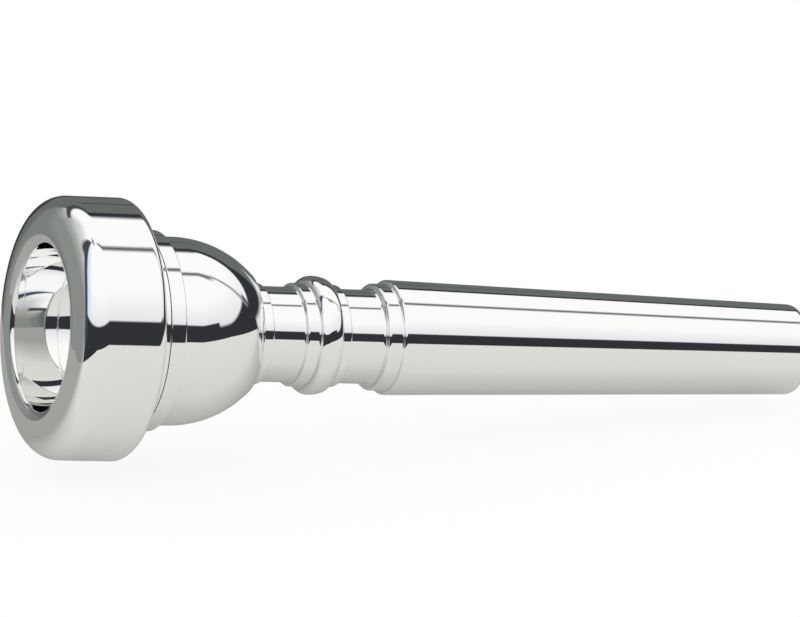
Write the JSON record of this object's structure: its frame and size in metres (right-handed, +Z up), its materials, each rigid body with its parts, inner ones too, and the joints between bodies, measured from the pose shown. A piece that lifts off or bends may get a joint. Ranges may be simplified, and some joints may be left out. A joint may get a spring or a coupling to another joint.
{
  "type": "trumpet mouthpiece",
  "caption": "Silver-plated trumpet mouthpiece with a screw-on rim, a bowl-shaped cup, a throat and a screwed-in backbore whose tapered shank seats in the instrument's receiver.",
  "frame": {"origin": "centre of the small end of the tapered shank, on the axis", "axes": "+X along the axis, from the rim out through the shank's small end; the part is a body of revolution, so Y and Z are any two cross directions, with +Z up"},
  "size_m": [0.0861, 0.027, 0.027],
  "materials": {
    "cup_plate": "mirror-polished silver plate on brass",
    "rim_plate": "mirror-polished silver plate on brass",
    "backbore_plate": "mirror-polished silver plate on brass"
  },
  "bodies": {
    "cup": {"cup": "cup_plate"},
    "rim": {"rim": "rim_plate"},
    "backbore": {"backbore": "backbore_plate"}
  },
  "joints": [
    {"name": "rim_unscrew", "type": "slide", "parent": "cup", "child": "rim", "axis": [-1, 0, 0], "range_m": [0, 0.01]},
    {"name": "backbore_unscrew", "type": "slide", "parent": "cup", "child": "backbore", "axis": [1, 0, 0], "range_m": [0, 0.012]}
  ]
}
